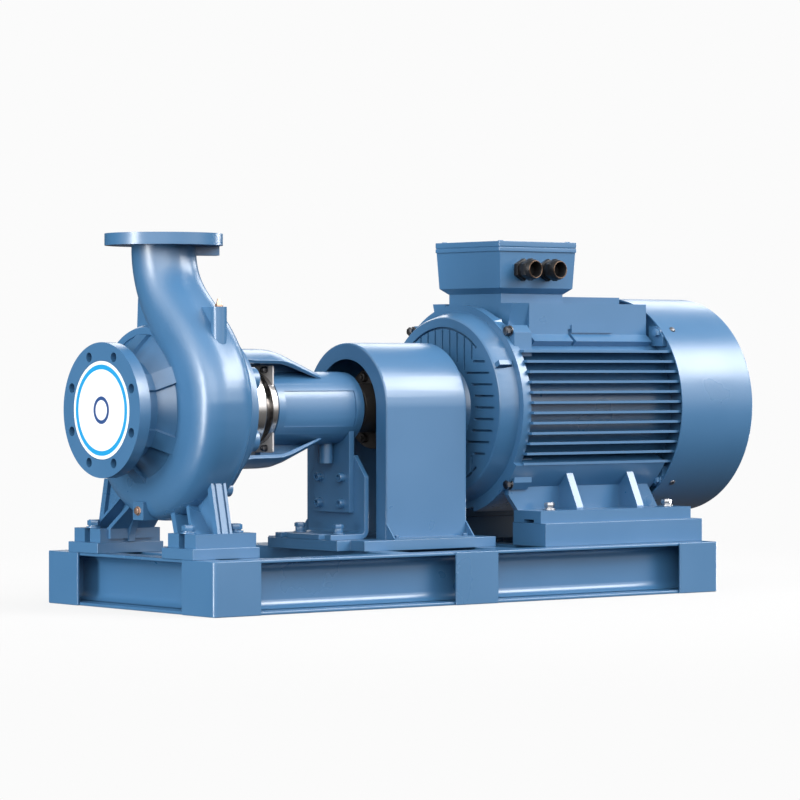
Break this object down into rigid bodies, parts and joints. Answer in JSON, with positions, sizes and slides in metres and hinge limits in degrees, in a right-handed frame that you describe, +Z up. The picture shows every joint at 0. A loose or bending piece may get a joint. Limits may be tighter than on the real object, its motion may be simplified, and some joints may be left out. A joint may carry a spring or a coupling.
{
  "type": "centrifugal pump set",
  "caption": "End-suction centrifugal pump with bearing bracket, guarded coupling and finned electric motor on a channel base frame, for moving water through pipework.",
  "frame": {"origin": "floor level under the middle of the set, on the shaft line", "axes": "+X along the shafts from the suction flange to the fan cover, +Z up, so the side seen with the pump on the left is -Y"},
  "size_m": [1.45, 0.546, 0.697],
  "materials": {
    "blue_paint": "semi-gloss blue enamel over castings and sheet",
    "white_cover": "plain white disc",
    "machined_steel": "turned steel",
    "seal_metal": "turned metal, warm grey",
    "dark_coupling_iron": "dark brown coating",
    "black_rubber": "plain rubber",
    "black_gland": "black with a thin brass edge",
    "fan_plastic": "moulded",
    "brass_plug": "screwed plug"
  },
  "bodies": {
    "frame": {"base_channel_far": "blue_paint", "base_channel_front": "blue_paint", "base_channel_near": "blue_paint", "base_channel_rear": "blue_paint", "base_corner_plate_front_far": "blue_paint", "base_corner_plate_front_near": "blue_paint", "base_corner_plate_rear_far": "blue_paint", "base_corner_plate_rear_near": "blue_paint", "base_cross_channel_1": "blue_paint", "base_cross_channel_2": "blue_paint", "base_cross_channel_3": "blue_paint", "base_cross_channel_4": "blue_paint", "base_middle_plate_far": "blue_paint", "base_middle_plate_near": "blue_paint", "bearing_bracket": "blue_paint", "bearing_cap_coupling_side": "blue_paint", "bearing_cap_pump_side": "seal_metal", "cable_glands": "black_gland", "casing_cover": "blue_paint", "casing_plugs": "brass_plug", "coupling_base_plate": "blue_paint", "coupling_guard": "blue_paint", "fan_cover": "blue_paint", "motor_drive_end_shield": "blue_paint", "motor_foot_far": "blue_paint", "motor_foot_near": "blue_paint", "motor_frame": "blue_paint", "motor_rail_far": "blue_paint", "motor_rail_near": "blue_paint", "motor_rear_shield": "blue_paint", "pump_foot_pad_far": "blue_paint", "pump_foot_pad_near": "blue_paint", "seal_cover": "seal_metal", "suction_cover": "white_cover", "support_bracket": "blue_paint", "support_foot_plate": "blue_paint", "terminal_box": "blue_paint", "terminal_box_lid": "blue_paint", "volute_casing": "blue_paint"},
    "rotor": {"pump_shaft": "machined_steel", "coupling_half_pump": "dark_coupling_iron", "coupling_half_motor": "dark_coupling_iron", "coupling_rubber_disc": "black_rubber", "motor_shaft": "machined_steel", "cooling_fan": "fan_plastic"}
  },
  "joints": [
    {"name": "rotor_spin", "type": "hinge", "parent": "frame", "child": "rotor", "pos_m": [0, 0, 0.37], "axis": [1, 0, 0], "continuous": true}
  ]
}
